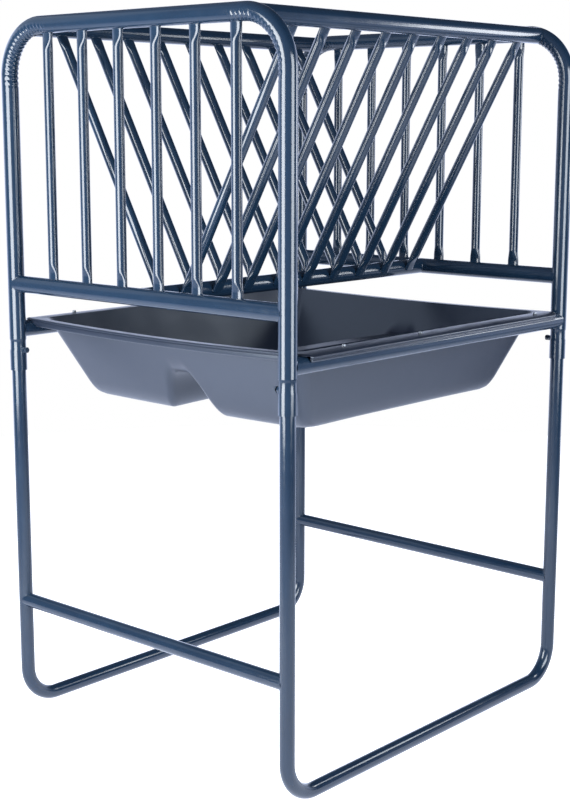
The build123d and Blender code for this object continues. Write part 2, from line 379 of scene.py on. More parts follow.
def hoop_stations():
    """Places along a hoop where its mesh has a row, close together where it changes."""
    bell_top = BELL_TOP_Z - SOCKET_MOUTH_Z
    neck_low = NECK_LOW_Z - SOCKET_MOUTH_Z
    neck_high = NECK_HIGH_Z - SOCKET_MOUTH_Z
    socket_top = SOCKET_TOP_Z - SOCKET_MOUTH_Z
    stations = [0, 1.2, 30, STRAIGHT_LEG - 620, bell_top - 1.5, bell_top, neck_low - 1.0, neck_low + 1.0]
    stations += [neck_high - 1.0, neck_high + 1.0, socket_top, socket_top + 1.5]
    stations += list(np.linspace(120, STRAIGHT_LEG - 45, 7))
    crimped = (STRAIGHT_LEG - 40, STRAIGHT_LEG + BEND_LENGTH + 48)
    stations += list(np.arange(*crimped, WRINKLE_PITCH / WRINKLE_ROWS))
    s = np.unique(np.round([q for q in stations if q < HOOP_LENGTH / 2], 3))
    s = np.concatenate([s, np.linspace(s[-1] + 30, HOOP_LENGTH / 2, 5)])
    return np.unique(np.round(np.concatenate([s, HOOP_LENGTH - s]), 3))


def hoop(y):
    """End frame with sockets at its feet and crimps inside its bends."""
    shape = Shape()
    s = hoop_stations()
    theta = angles(TUBE_SEGMENTS)
    x, z, turn = hoop_path(s)
    radius = np.full(len(s), LARGE_R)
    legs = (s < SOCKET_REACH) | (s > HOOP_LENGTH - SOCKET_REACH)
    radius[legs] = socket_radius(z[legs])
    radii = radius[:, None] - wrinkle_rows(s, theta, HOOP_SEEDS[-1 if y < 0 else 1])
    outward = np.stack([np.cos(turn), np.zeros_like(turn), np.sin(turn)], -1)
    centre = np.stack([x, np.full_like(x, y), z], -1)
    ring = np.cos(theta)[None, :, None] * outward[:, None] + np.sin(theta)[None, :, None] * ALONG_Y
    shape.grid(centre[:, None] + ring * radii[..., None], flip=True)
    for x_foot in (-LEG_X, LEG_X):
        open_end(shape, vec(x_foot, y, SOCKET_MOUTH_Z), -UP, LARGE_R, TUBE_WALL, SEEN_DEPTH)
    return shape


# ---------------------------------------------------------------- bars with pressed ends
PRESS_LEAD = 9.0
PRESS_EASE = 6.0
PRESS_BLUNTNESS = 0.45
PRESSED_ROWS = 15
PLAIN_ROWS = 8
ROW_MARGIN = 10.0


def bar_ring(s, length, theta):
    """Section of a pressed bar, along its wide way and across it, at places along the bar."""
    def pressed(from_end, flat):
        return 1.0 - smoothstep((from_end - flat + PRESS_LEAD) / (PRESS_TAPER + PRESS_EASE))

    share = np.maximum(pressed(s, LARGE_R + PRESSED_LOW), pressed(length - s, LARGE_R + PRESSED_HIGH))
    share = share[:, None]
    half_wide = BAR_R + (PRESSED_HALF_WIDTH - BAR_R) * share
    half_thick = BAR_R + (PRESSED_HALF_THICKNESS - BAR_R) * share
    bluntness = 1.0 / (1.0 + PRESS_BLUNTNESS * share)
    c, d = np.cos(theta)[None], np.sin(theta)[None]
    return half_wide * np.sign(c) * np.abs(c) ** bluntness, half_thick * np.sign(d) * np.abs(d) ** bluntness


def pressed_bar(shape, origin, axis, wide, length, start, stop):
    """Round bar pressed flat at both ends, drawn from start to stop along its axis."""
    low = LARGE_R + PRESSED_LOW
    high = LARGE_R + PRESSED_HIGH
    fine_low = np.linspace(low - ROW_MARGIN, low + PRESS_TAPER, PRESSED_ROWS)
    fine_high = length - np.linspace(high - ROW_MARGIN, high + PRESS_TAPER, PRESSED_ROWS)[::-1]
    middle = np.linspace(fine_low[-1], fine_high[0], PLAIN_ROWS)[1:-1]
    s = np.concatenate([[start], fine_low, middle, fine_high, [stop]])
    x, y = bar_ring(s, length, angles(BAR_SEGMENTS))
    across = np.cross(axis, wide)
    shape.grid(origin + s[:, None, None] * axis + x[..., None] * wide + y[..., None] * across)


def bar_bead(shape, centre, main, branch, seed, offset=0.0):
    """Weld round the pressed end of a bar."""
    size = (PRESSED_HALF_WIDTH, PRESSED_HALF_THICKNESS, BAR_WELD)
    tee_bead(shape, centre, main, branch, LARGE_R, *size, offset=offset, seed=seed)


def picket(x, y, seed):
    """Upright bar of an end frame."""
    shape = Shape()
    length = HOOP_HEIGHT - LOWER_RAIL_Z
    foot = vec(x, y, LOWER_RAIL_Z)
    pressed_bar(shape, foot, UP, ALONG_X, length, BAR_INSET, length - BAR_INSET)
    bar_bead(shape, foot, ALONG_X, UP, seed + 1)
    bar_bead(shape, vec(x, y, HOOP_HEIGHT), ALONG_X, -UP, seed + 2)
    return shape


def rack_bar(side, y, seed):
    """Slanted bar of the V, its foot on the flank of the bottom rail."""
    shape = Shape()
    rise = TOP_RAIL_Z - LOWER_RAIL_Z
    reach = math.hypot(TOP_RAIL_X, rise)
    slant = math.atan2(TOP_RAIL_X, rise) - math.asin(RACK_BAR_OFFSET / reach)
    length = math.sqrt(reach**2 - RACK_BAR_OFFSET**2)
    down = vec(-side * math.sin(slant), 0, -math.cos(slant))
    top = vec(side * TOP_RAIL_X, y, TOP_RAIL_Z)
    foot = top + down * length
    pressed_bar(shape, foot, -down, ALONG_Y, length, RACK_BAR_STOP, length - BAR_INSET)
    bar_bead(shape, top, ALONG_Y, down, seed)
    across = np.cross(-down, ALONG_Y)
    rail_axis = vec(0, y, LOWER_RAIL_Z)
    offset = float(np.dot(foot - rail_axis, across))
    bar_bead(shape, rail_axis, ALONG_Y, -down, seed + 500, offset)
    x, thick = bar_ring(np.array([RACK_BAR_STOP]), length, angles(BAR_SEGMENTS))
    end = foot - down * RACK_BAR_STOP + x[0][:, None] * ALONG_Y + thick[0][:, None] * across
    shape.face(end, flip=True)
    return shape


# ---------------------------------------------------------------- leg frames
def leg_frame(side):
    """U of small tube with a floor run between two uprights."""
    shape = Shape()
    x = side * LEG_X
    rise = UPRIGHT_TOP_Z - FLOOR_RUN_Z - FLOOR_BEND
    run = 2 * (HOOP_Y - FLOOR_BEND)
    arc = FLOOR_BEND * math.pi / 2
    half = rise + arc + run / 2
    s = np.linspace(0, rise, 8)
    s = np.concatenate([s, np.linspace(rise, rise + arc, 33)[1:], np.linspace(rise + arc, half, 4)[1:]])
    y = np.where(s <= rise, -HOOP_Y, 0.0)
    z = np.where(s <= rise, UPRIGHT_TOP_Z - s, 0.0)
    turn = np.where(s <= rise, math.pi, 1.5 * math.pi)
    bend = (s > rise) & (s <= rise + arc)
    turn[bend] = math.pi + (s[bend] - rise) / FLOOR_BEND
    y[bend] = -HOOP_Y + FLOOR_BEND + FLOOR_BEND * np.cos(turn[bend])
    z[bend] = FLOOR_RUN_Z + FLOOR_BEND + FLOOR_BEND * np.sin(turn[bend])
    flat = s > rise + arc
    y[flat] = -HOOP_Y + FLOOR_BEND + (s[flat] - rise - arc)
    z[flat] = FLOOR_RUN_Z
    y = np.concatenate([y, -y[-2::-1]])
    z = np.concatenate([z, z[-2::-1]])
    turn = np.concatenate([turn, 3 * math.pi - turn[-2::-1]])
    centre = np.stack([np.full_like(y, x), y, z], -1)
    outward = np.stack([np.zeros_like(turn), np.cos(turn), np.sin(turn)], -1)
    theta = angles(TUBE_SEGMENTS)
    ring = np.cos(theta)[None, :, None] * outward[:, None] + np.sin(theta)[None, :, None] * ALONG_X
    shape.grid(centre[:, None] + ring * SMALL_R)
    for y_top in (-HOOP_Y, HOOP_Y):
        open_end(shape, vec(x, y_top, UPRIGHT_TOP_Z), UP, SMALL_R, TUBE_WALL, SEEN_DEPTH)
    return shape


def cross_tube(y, z, radius, weld, seed):
    """Level tube from leg to leg, with its weld seams."""
    shape = Shape()
    straight_tube(shape, vec(-LEG_X + CROSS_INSET, y, z), vec(LEG_X - CROSS_INSET, y, z), radius)
    for side in (-1, 1):
        place = vec(side * LEG_X, y, z)
        inwards = vec(-side, 0, 0)
        tee_bead(shape, place, UP, inwards, radius, radius, radius * SEAM_SHARE, weld, seed=int(seed + side + y))
    return shape


def long_rail(x, z, seed, meets="rail"):
    """Rail from hoop to hoop, with its weld seams. It meets a lower rail, a leg or a bend there."""
    shape = Shape()
    straight_tube(shape, vec(x, -HOOP_Y + RAIL_INSET, z), vec(x, HOOP_Y - RAIL_INSET, z), LARGE_R)
    for end in (-1, 1):
        main = UP if meets == "leg" else ALONG_X
        curve = None
        if meets == "bend":
            lean = math.asin((abs(x) - LEG_X + HOOP_BEND) / HOOP_BEND)
            main = vec(math.cos(lean), 0, -math.copysign(math.sin(lean), x)) * -end
            curve = HOOP_BEND
        tee_bead(shape, vec(x, end * HOOP_Y, z), main, vec(0, -end, 0), LARGE_R, LARGE_R,
                 LARGE_R * SEAM_SHARE, RAIL_WELD, curve=curve, seed=seed + end)
    return shape


# ---------------------------------------------------------------- tray
# Lips of the short and the long sides: how far inwards of the rim's edge, how far above its top
END_LIP = [(3.6, 0.0), (1.8, -0.3), (0.6, -1.3), (0.0, -3.0), (0.2, -4.2), (1.9, -5.0)]
END_LIP += [(2.2, -5.8), (1.9, -6.6), (0.4, -7.3), (0.1, -8.2), (0.1, -12.0), (0.1, -15.4)]
END_LIP += [(0.5, -17.0), (1.4, -18.1), (2.5, -18.5), (3.6, -18.1), (4.0, -17.0), (4.0, -5.0)]
SIDE_LIP = [(3.6, -4.1), (1.6, -5.4), (0.4, -6.8), (0.0, -8.0), (0.2, -9.2), (1.0, -10.2)]
SIDE_LIP += [(2.4, -11.0), (2.9, -12.0), (2.4, -13.0), (1.2, -13.8), (0.6, -14.8), (0.8, -16.0)]
SIDE_LIP += [(1.6, -17.3), (2.6, -18.2), (3.6, -18.5), (4.6, -18.1), (5.0, -17.0), (5.0, -9.0)]
CORNER_POINTS = 12
SIDE_POINTS = 30
LEAST_CORNER = 4.0
LOWEST_SHARE = -3.0
HIGHEST_SHARE = 1.6
HALVINGS = 26


def smooth_max(a, b, k):
    """The higher of two heights, rounded where they cross."""
    h = np.clip(0.5 + 0.5 * (a - b) / k, 0.0, 1.0)
    return b + (a - b) * h + k * h * (1.0 - h)


def rounded_distance(x, y, half_x, half_y, corner):
    """Distance to a rounded rectangle, negative inside."""
    qx = np.abs(x) - (half_x - corner)
    qy = np.abs(y) - (half_y - corner)
    outside = np.hypot(np.maximum(qx, 0), np.maximum(qy, 0))
    return outside + np.minimum(np.maximum(qx, qy), 0) - corner


def wall_height(x, y, inset):
    """Share of the way from floor to mouth at which the tapered wall stands over a place."""
    low = np.full(np.shape(x), LOWEST_SHARE)
    high = np.full(np.shape(x), HIGHEST_SHARE)
    for _ in range(HALVINGS):
        t = (low + high) / 2
        corner = WELL_FLOOR_CORNER + t * (WELL_MOUTH_CORNER - WELL_FLOOR_CORNER) - inset
        corner = np.maximum(corner, LEAST_CORNER)
        half_x = WELL_FLOOR_HALF[0] + t * (WELL_MOUTH_HALF[0] - WELL_FLOOR_HALF[0]) - inset
        half_y = WELL_FLOOR_HALF[1] + t * (WELL_MOUTH_HALF[1] - WELL_FLOOR_HALF[1]) - inset
        outside = rounded_distance(x, y, half_x, half_y, corner) > 0
        low = np.where(outside, t, low)
        high = np.where(outside, high, t)
    return (low + high) / 2


def tray_sag(x, y):
    """How far the free ends of the tray hang below its rails."""
    along = smoothstep((np.abs(y) - SAG_START) / SAG_LENGTH)
    deep = np.where(y < 0, FRONT_SAG, REAR_SAG)
    return deep * along * np.clip(1.0 - (x / LEG_X) ** 2, 0.0, 1.0)


def skin(x, y, inset):
    """Height of the tray's outer (inset 0) or inner skin over a place."""
    depth = RIM_TOP_Z - WELL_FLOOR_Z
    wall = WELL_FLOOR_Z + wall_height(x, y, inset) * depth
    well = smooth_max(wall, np.full(np.shape(x), WELL_FLOOR_Z + inset), WELL_FILLET)
    slope = TUNNEL_HEIGHT / (TUNNEL_HALF_FOOT - TUNNEL_HALF_CROWN)
    from_crown = np.abs(x - TUNNEL_X) - TUNNEL_HALF_CROWN - inset
    crown = WELL_FLOOR_Z + TUNNEL_HEIGHT + inset
    ridge = -smooth_max(np.full(np.shape(x), -crown), -(crown - from_crown * slope), TUNNEL_ROUND)
    return smooth_max(well, ridge, TUNNEL_FOOT_ROUND)


def lines(*spans):
    """Grid lines over spans of (from, to, count)."""
    return np.unique(np.round(np.concatenate([np.linspace(a, b, n) for a, b, n in spans]), 3))


def outline(half_x, half_y, corner):
    """Points round a rounded rectangle, counter-clockwise from the start of its right rear corner."""
    points = []
    corners = ((1, 1, 0), (-1, 1, 90), (-1, -1, 180), (1, -1, 270))
    for sx, sy, start in corners:
        centre = (sx * (half_x - corner), sy * (half_y - corner))
        for k in range(CORNER_POINTS + 1):
            turn = math.radians(start + 90 * k / CORNER_POINTS)
            points.append((centre[0] + corner * math.cos(turn), centre[1] + corner * math.sin(turn)))
    points = np.array(points)
    full = []
    count = len(points)
    for k in range(count):
        full.append(points[k])
        if k % (CORNER_POINTS + 1) == CORNER_POINTS:
            following = points[(k + 1) % count]
            for q in range(1, SIDE_POINTS):
                full.append(points[k] + (following - points[k]) * q / SIDE_POINTS)
    return np.array(full)


def side_drop(x):
    """Fall of the long rims' crowned top, outwards and a little inwards."""
    across = np.abs(x) - RIM_CREST_X
    outwards = np.clip(across / (RIM_HALF_WIDTH - RIM_CREST_X), 0.0, 1.0)
    inwards = np.clip(-across / (RIM_CREST_X - WELL_MOUTH_HALF[0] + TRAY_WALL), 0.0, 1.0)
    return CREST_DROP_OUT * (1.0 - np.sqrt(1.0 - outwards**2)) + CREST_DROP_IN * inwards**2


def tray_skin(shape, inset, flip):
    """Outer (inset 0) or inner skin of the wells and the tunnel."""
    mx, my = WELL_MOUTH_HALF[0] - inset, WELL_MOUTH_HALF[1] - inset
    corner = WELL_MOUTH_CORNER - inset
    near, far = TUNNEL_X - 110, TUNNEL_X + 110
    xs = lines((-mx, -340, 34), (-340, near, 12), (near, far, 60), (far, 340, 12), (340, mx, 34))
    ys = lines((-my, -350, 44), (-350, 350, 30), (350, my, 44))
    gx, gy = np.meshgrid(xs, ys)
    shift = rounded_distance(gx, gy, mx, my, corner)
    over = shift > 0
    pull_x = gx - np.sign(gx) * (mx - corner)
    pull_y = gy - np.sign(gy) * (my - corner)
    size = np.hypot(pull_x, pull_y) + 1e-9
    gx = np.where(over, gx - shift * pull_x / size, gx)
    gy = np.where(over, gy - shift * pull_y / size, gy)
    gz = np.minimum(skin(gx, gy, inset), RIM_TOP_Z) - tray_sag(gx, gy)
    shape.grid(np.stack([gx, gy, gz], -1), wrap=False, flip=flip)


def tray_rim(shape):
    """Flat and crowned top of the rim, its rolled lip, and the way back to the outer skin."""
    half_x, half_y = WELL_MOUTH_HALF
    mouth = outline(half_x - TRAY_WALL, half_y - TRAY_WALL, WELL_MOUTH_CORNER - TRAY_WALL)
    rim = outline(RIM_HALF_WIDTH, RIM_HALF_LENGTH, RIM_CORNER)
    rim_direction = unit(rim - outline(RIM_HALF_WIDTH - 10, RIM_HALF_LENGTH - 10, RIM_CORNER - 10))
    beside_leg = np.abs(rim[:, 0]) > LEG_X - LARGE_R - 2.0
    notch = beside_leg & (np.abs(rim[:, 1]) > RIM_HALF_LENGTH - RIM_CORNER * 0.6)
    side = (rim_direction[:, 0] ** 2)[:, None]
    rows = [mouth]
    heights = [np.full(len(rim), RIM_TOP_Z - MOUTH_EDGE_DROP)]
    edge = rim - rim_direction * RIM_EDGE
    for share in (0.05, 0.12, 0.3, 0.45, 0.6, 0.72, 0.82, 0.9, 0.96):
        place = mouth + (edge - mouth) * share
        rows.append(place)
        heights.append(RIM_TOP_Z - (0.35 if share == 0.05 else 0.0) - side_drop(place[:, 0]) * side[:, 0])
    for one, two in zip(np.array(END_LIP), np.array(SIDE_LIP)):
        inward, drop = ((1 - side) * one + side * two).T
        drop = np.where(notch, np.maximum(drop, -TRAY_WALL - 1.0), drop)
        rows.append(rim - rim_direction * inward[:, None])
        heights.append(RIM_TOP_Z + drop)
    rows.append(outline(half_x, half_y, WELL_MOUTH_CORNER))
    heights.append(np.full(len(rim), RIM_TOP_Z - TRAY_WALL))
    rows = np.array(rows)
    heights = np.array(heights) - tray_sag(rows[..., 0], rows[..., 1])
    shape.grid(np.concatenate([rows, heights[..., None]], -1), flip=True)


def feed_tray():
    """Moulded tray: outer skin, inner skin and rim."""
    shape = Shape()
    tray_skin(shape, 0.0, True)
    tray_skin(shape, TRAY_WALL, False)
    tray_rim(shape)
    return shape


# ---------------------------------------------------------------- fasteners
def hex_corners(flats):
    """Corners of a hexagon of a size across flats."""
    radius = (flats / 2) / math.cos(math.pi / 6)
    return [vec(radius * math.cos(k * math.pi / 3), radius * math.sin(k * math.pi / 3)) for k in range(6)]


def hex_head(shape, place, flats, low, high):
    """Hexagonal head with a chamfered top, along the local z of a placing function."""
    corners = hex_corners(flats)
    for k in range(6):
        a, b = corners[k], corners[(k + 1) % 6]
        steps = np.linspace(0, 1, 7)
        edge = a[None] + steps[:, None] * (b - a)[None]
        reach = np.linalg.norm(edge, axis=1)
        drop = (reach - flats / 2) * 0.55
        bottom = [place(vec(p[0], p[1], low)) for p in edge]
        top = [place(vec(p[0], p[1], high - 0.35 - d)) for p, d in zip(edge, drop)]
        shape.grid(np.array([bottom, top]), wrap=False)
        inner = edge / reach[:, None] * (flats / 2 - 0.4)
        crown = [place(vec(p[0], p[1], high)) for p in inner]
        shape.grid(np.array([top, crown]), wrap=False)
    turn = angles(36)
    crown_radius = flats / 2 - 0.4
    disc = [place(vec(crown_radius * math.cos(t), crown_radius * math.sin(t), high)) for t in turn]
    shape.face(disc)
    base = [place(vec(p[0], p[1], low)) for p in corners]
    shape.face(base, flip=True)


def turned(shape, place, profile, segments=32):
    """Surface of revolution about the local z."""
    turn = angles(segments)
    rows = [[place(vec(r * math.cos(t), r * math.sin(t), z)) for t in turn] for r, z in profile]
    shape.grid(np.array(rows))


def tray_screws():
    """Hex head screws with washer faces through the tray's rim."""
    shape = Shape()
    noise = np.random.default_rng(SCREW_SEED)
    for side in (-1, 1):
        for y in SCREW_YS:
            twist = noise.uniform(0, math.pi / 3)
            c, s = math.cos(twist), math.sin(twist)
            sag = float(tray_sag(np.array(side * LEG_X), np.array(y)))

            def place(p, x=side * LEG_X, y=y, c=c, s=s, sag=sag):
                return vec(x + p[0] * c - p[1] * s, y + p[0] * s + p[1] * c, RIM_TOP_Z - sag + p[2])

            washer = [(2.0, 0.0), (5.3, 0.05), (5.5, 0.3), (5.4, 0.8), (5.0, 1.0), (3.0, 1.05)]
            turned(shape, place, washer)
            hex_head(shape, place, SCREW_FLATS, 1.0, 5.0)
            thread = [(0.2, -19.0), (1.5, -15.5)]
            thread += [(1.8 + 0.6 * (k % 2), -15.0 + 0.9 * k) for k in range(16)]
            thread += [(2.1, -0.2)]
            turned(shape, place, thread, 20)
    return shape


def bolt_place(side, y):
    """Placing function whose local z points inwards from a leg's axis."""
    def place(p):
        return vec(side * LEG_X - side * p[2], y + p[0], BOLT_Z + side * p[1])
    return place


def set_bolt(side, y):
    """Threaded bolt with a hex head, its tip just outside the upright."""
    shape = Shape()
    place = bolt_place(side, y)
    tip = SMALL_R + 0.3
    thread = [(2.9, tip), (3.6, tip + 0.8)]
    z = tip + 1.0
    while z < tip + BOLT_THREAD:
        thread += [(3.95, z), (3.5, z + 0.5)]
        z += 1.0
    turned(shape, place, thread, 28)
    hex_head(shape, place, BOLT_FLATS, tip + 12.0, tip + 17.5)
    return shape


def weld_nuts():
    """Hex nuts welded to the sockets, their feet following the round of the tube."""
    shape = Shape()
    for side in (-1, 1):
        for y in (-HOOP_Y, HOOP_Y):
            place = bolt_place(side, y)
            high = LARGE_R + NUT_THICKNESS
            corners = hex_corners(BOLT_FLATS)
            for k in range(6):
                a, b = corners[k], corners[(k + 1) % 6]
                edge = a[None] + np.linspace(0, 1, 7)[:, None] * (b - a)[None]
                reach = np.linalg.norm(edge, axis=1)
                foot = [place(vec(p[0], p[1], math.sqrt(LARGE_R**2 - p[0] ** 2) - 0.3)) for p in edge]
                edge_height = high - 0.2 - (reach - BOLT_FLATS / 2) * 0.5
                top = [place(vec(p[0], p[1], h)) for p, h in zip(edge, edge_height)]
                crown = [place(vec(*(p / r * 6.1), high)) for p, r in zip(edge, reach)]
                shape.grid(np.array([foot, top]), wrap=False)
                shape.grid(np.array([top, crown]), wrap=False)
            turned(shape, place, [(6.1, high), (4.5, high), (4.1, high - 0.5), (4.1, LARGE_R)], 36)
            count = 48
            turn = angles(count)
            hexagon = BOLT_FLATS / 2 / np.cos((turn + math.pi / 6) % (math.pi / 3) - math.pi / 6)
            px, py = hexagon * np.cos(turn), hexagon * np.sin(turn)
            depth = np.sqrt(LARGE_R**2 - px**2)
            points = np.array([place(vec(a, b, d)) for a, b, d in zip(px, py, depth)])
            middle = place(vec(0, 0, 0))
            normal_main = unit(np.array([place(vec(a, 0, d)) - middle for a, d in zip(px, depth)]))
            normal_nut = unit(np.array([place(vec(a, b, 0)) - middle for a, b in zip(px, py)]))
            bead(shape, points, normal_main, normal_nut, NUT_WELD, seed=int(NUT_SEED + side + y))
    return shape


# ---------------------------------------------------------------- materials
NOISE_SPAN = (0.3, 0.7)
WHITE = (1, 1, 1, 1)
COAT_TONES = ((0.0048, 0.0135, 0.0285), (0.0054, 0.0150, 0.0310), (0.0060, 0.0165, 0.0335))
BOLT_TONES = tuple(tuple(c * 0.9 for c in tone) for tone in COAT_TONES)
PLASTIC_TONES = ((0.0052, 0.0082, 0.0165), (0.0064, 0.0098, 0.0190))
PLASTIC_TINT = (0.82, 0.90, 1.0, 1.0)
ZINC_TONE = (0.20, 0.215, 0.24)


def principled(name):
    """New material, with its nodes, links, shader and the object's own coordinates."""
    material = bpy.data.materials.new(name)
    material.use_nodes = True
    nodes = material.node_tree.nodes
    links = material.node_tree.links
    shader = next(n for n in nodes if n.type == "BSDF_PRINCIPLED")
    coordinates = nodes.new("ShaderNodeTexCoord")
    return material, nodes, links, shader, coordinates.outputs["Object"]


def noise_node(nodes, links, where, scale, detail=2.0):
    """Noise of a scale, in features per metre."""
    noise = nodes.new("ShaderNodeTexNoise")
    noise.inputs["Scale"].default_value = scale
    noise.inputs["Detail"].default_value = detail
    links.new(where, noise.inputs["Vector"])
    return noise.outputs["Fac"]


def ramp(nodes, links, value, stops):
    """Colour that a value picks from a row of stops."""
    node = nodes.new("ShaderNodeValToRGB")
    links.new(value, node.inputs["Fac"])
    node.color_ramp.elements[0].position = stops[0][0]
    node.color_ramp.elements[0].color = (*stops[0][1], 1)
    node.color_ramp.elements[1].position = stops[-1][0]
    node.color_ramp.elements[1].color = (*stops[-1][1], 1)
    for position, colour in stops[1:-1]:
        element = node.color_ramp.elements.new(position)
        element.color = (*colour, 1)
    return node.outputs["Color"]


def map_range(nodes, links, value, start, end, low, high):
    """Value that goes from low to high while another goes from start to end."""
    node = nodes.new("ShaderNodeMapRange")
    links.new(value, node.inputs["Value"])
    node.inputs["From Min"].default_value = start
    node.inputs["From Max"].default_value = end
    node.inputs["To Min"].default_value = low
    node.inputs["To Max"].default_value = high
    return node.outputs["Result"]


def colour_by_noise(nodes, links, shader, noise, stops):
    """Base colour that wanders between stops."""
    links.new(ramp(nodes, links, noise, stops), shader.inputs["Base Color"])


def roughness_by_noise(nodes, links, shader, noise, low, high):
    """Roughness that wanders between two values."""
    links.new(map_range(nodes, links, noise, *NOISE_SPAN, low, high), shader.inputs["Roughness"])


def bump(nodes, links, shader, height, strength, distance):
    """Fine relief, its distance in metres."""
    node = nodes.new("ShaderNodeBump")
    node.inputs["Strength"].default_value = strength
    node.inputs["Distance"].default_value = distance
    links.new(height, node.inputs["Height"])
    links.new(node.outputs["Normal"], shader.inputs["Normal"])


def powder_coat(name, tones, roughness=(0.13, 0.19)):
    """Powder coat with a faint orange peel."""
    material, nodes, links, shader, where = principled(name)
    stops = [(0.32, tones[0]), (0.5, tones[1]), (0.7, tones[2])]
    colour_by_noise(nodes, links, shader, noise_node(nodes, links, where, 9.0, 4.0), stops)
    roughness_by_noise(nodes, links, shader, noise_node(nodes, links, where, 40.0, 3.0), *roughness)
    shader.inputs["Specular IOR Level"].default_value = 0.5
    bump(nodes, links, shader, noise_node(nodes, links, where, 420.0), 0.05, 0.0005)
    return material


def tray_plastic(name):
    """Satin moulded plastic."""
    material, nodes, links, shader, where = principled(name)
    stops = list(zip(NOISE_SPAN, PLASTIC_TONES))
    colour_by_noise(nodes, links, shader, noise_node(nodes, links, where, 6.0, 5.0), stops)
    roughness_by_noise(nodes, links, shader, noise_node(nodes, links, where, 25.0, 3.0), 0.31, 0.35)
    shader.inputs["Specular IOR Level"].default_value = 0.75
    shader.inputs["Specular Tint"].default_value = PLASTIC_TINT
    bump(nodes, links, shader, noise_node(nodes, links, where, 900.0, 3.0), 0.05, 0.0003)
    return material


def steel(name, colour, roughness):
    """Dull plated steel."""
    material, nodes, links, shader, where = principled(name)
    shader.inputs["Metallic"].default_value = 1.0
    stops = list(zip(NOISE_SPAN, (tuple(c * 0.8 for c in colour), colour)))
    colour_by_noise(nodes, links, shader, noise_node(nodes, links, where, 300.0, 3.0), stops)
    roughness_by_noise(nodes, links, shader, noise_node(nodes, links, where, 900.0), *roughness)
    bump(nodes, links, shader, noise_node(nodes, links, where, 2200.0), 0.08, 0.0002)
    return material


coat = powder_coat("powder_coat_navy", COAT_TONES)
bolt_coat = powder_coat("bolt_coat_dark", BOLT_TONES, (0.35, 0.45))
plastic = tray_plastic("tray_plastic_slate")
zinc = steel("screw_zinc", ZINC_TONE, (0.45, 0.58))


# ---------------------------------------------------------------- pieces
def coated(shape, node, ending="tube", body="upper_frame"):
    """Add a shape as the powder-coated piece of a node."""
    shape.piece(f"{node}_{ending}", coat, body, [node], "powder_coat")


ENDS = (("front", -HOOP_Y), ("rear", HOOP_Y))
SIDES = (("left", -1), ("right", 1))
for end_name, y in ENDS:
    coated(hoop(y), f"{end_name}_hoop")
    coated(cross_tube(y, LOWER_RAIL_Z, LARGE_R, RAIL_WELD, LOWER_RAIL_SEED), f"{end_name}_lower_rail")
    coated(cross_tube(y, BRACE_Z, SMALL_R, BRACE_WELD, BRACE_SEED), f"{end_name}_brace", body="base")
    first_seed = 0 if y < 0 else REAR_PICKET_SEED
    for k, x in enumerate(spread(PICKETS, PICKET_PITCH)):
        coated(picket(x, y, 20 * k + first_seed), f"{end_name}_picket_{k + 1}", "bar")
    for side_name, side in SIDES:
        name = f"{end_name}_{side_name}_set_bolt"
        set_bolt(side, y).piece(name + "_hex", bolt_coat, f"{end_name}_{side_name}_bolt", [name], "bolt_steel")
for side_name, side in SIDES:
    top_rail = long_rail(side * TOP_RAIL_X, TOP_RAIL_Z, TOP_RAIL_SEED + side, "bend")
    coated(top_rail, f"{side_name}_top_rail")
    tray_rail = long_rail(side * LEG_X, TRAY_RAIL_Z, TRAY_RAIL_SEED + side, "leg")
    coated(tray_rail, f"{side_name}_tray_rail")
    coated(leg_frame(side), f"{side_name}_leg_frame", body="base")
    for k, place in enumerate(spread(RACK_BARS, RACK_BAR_PITCH)):
        y = place + side * RACK_BAR_STAGGER / 2
        bar = rack_bar(side, y, RACK_BAR_SEED + 30 * k + 7 * side)
        coated(bar, f"{side_name}_rack_bar_{k + 1}", "bar")
coated(long_rail(0.0, LOWER_RAIL_Z, BOTTOM_RAIL_SEED), "rack_bottom_rail")
feed_tray().piece("feed_tray_moulding", plastic, "upper_frame", ["feed_tray"], "tray_plastic")
tray_screws().piece("tray_screws_hex", zinc, "upper_frame", ["tray_screws"], "screw_steel")
coated(weld_nuts(), "weld_nuts", "hex")

# ---------------------------------------------------------------- stage, light, camera
ROOM_TINT = (0.80, 0.90, 1.20)
ROOM_LEAST = 0.07
FLOOR_RADIUS = 3.6
FLOOR_POINTS = 96
FLOOR_TONE = (0.60, 0.60, 0.61, 1)
FLOOR_FALL = (0.9, 0.43, 0.0)
FLOOR_FALL_SPAN = (0.2, 2.2)
FLOOR_GLOW = (1.05, 0.22)
BACKDROP_EDGE = (0.36, 0.22)
CAMERA_PLACE = (2.512868, -2.85719, 1.493711)
CAMERA_TURNS = (-41.71, -10.41, 0.074)
CAMERA_LENS = 67.4521


def feed(links, socket, value):
    """Give a socket a plain value, or link a node's output to it."""
    if isinstance(value, bpy.types.NodeSocket):
        links.new(value, socket)
    else:
        socket.default_value = value


def along(nodes, links, where, direction):
    """How far a place or a direction lies along another."""
    node = nodes.new("ShaderNodeVectorMath")
    node.operation = "DOT_PRODUCT"
    node.inputs[1].default_value = direction
    links.new(where, node.inputs[0])
    return node.outputs["Value"]


def camera_mix(nodes, links, kind, unseen, seen):
    """One value for the camera's rays and another for all others."""
    path = nodes.new("ShaderNodeLightPath")
    mix = nodes.new("ShaderNodeMix")
    mix.data_type = kind
    links.new(path.outputs["Is Camera Ray"], mix.inputs["Factor"])
    feed(links, mix.inputs["A"], unseen)
    feed(links, mix.inputs["B"], seen)
    return mix.outputs["Result"]


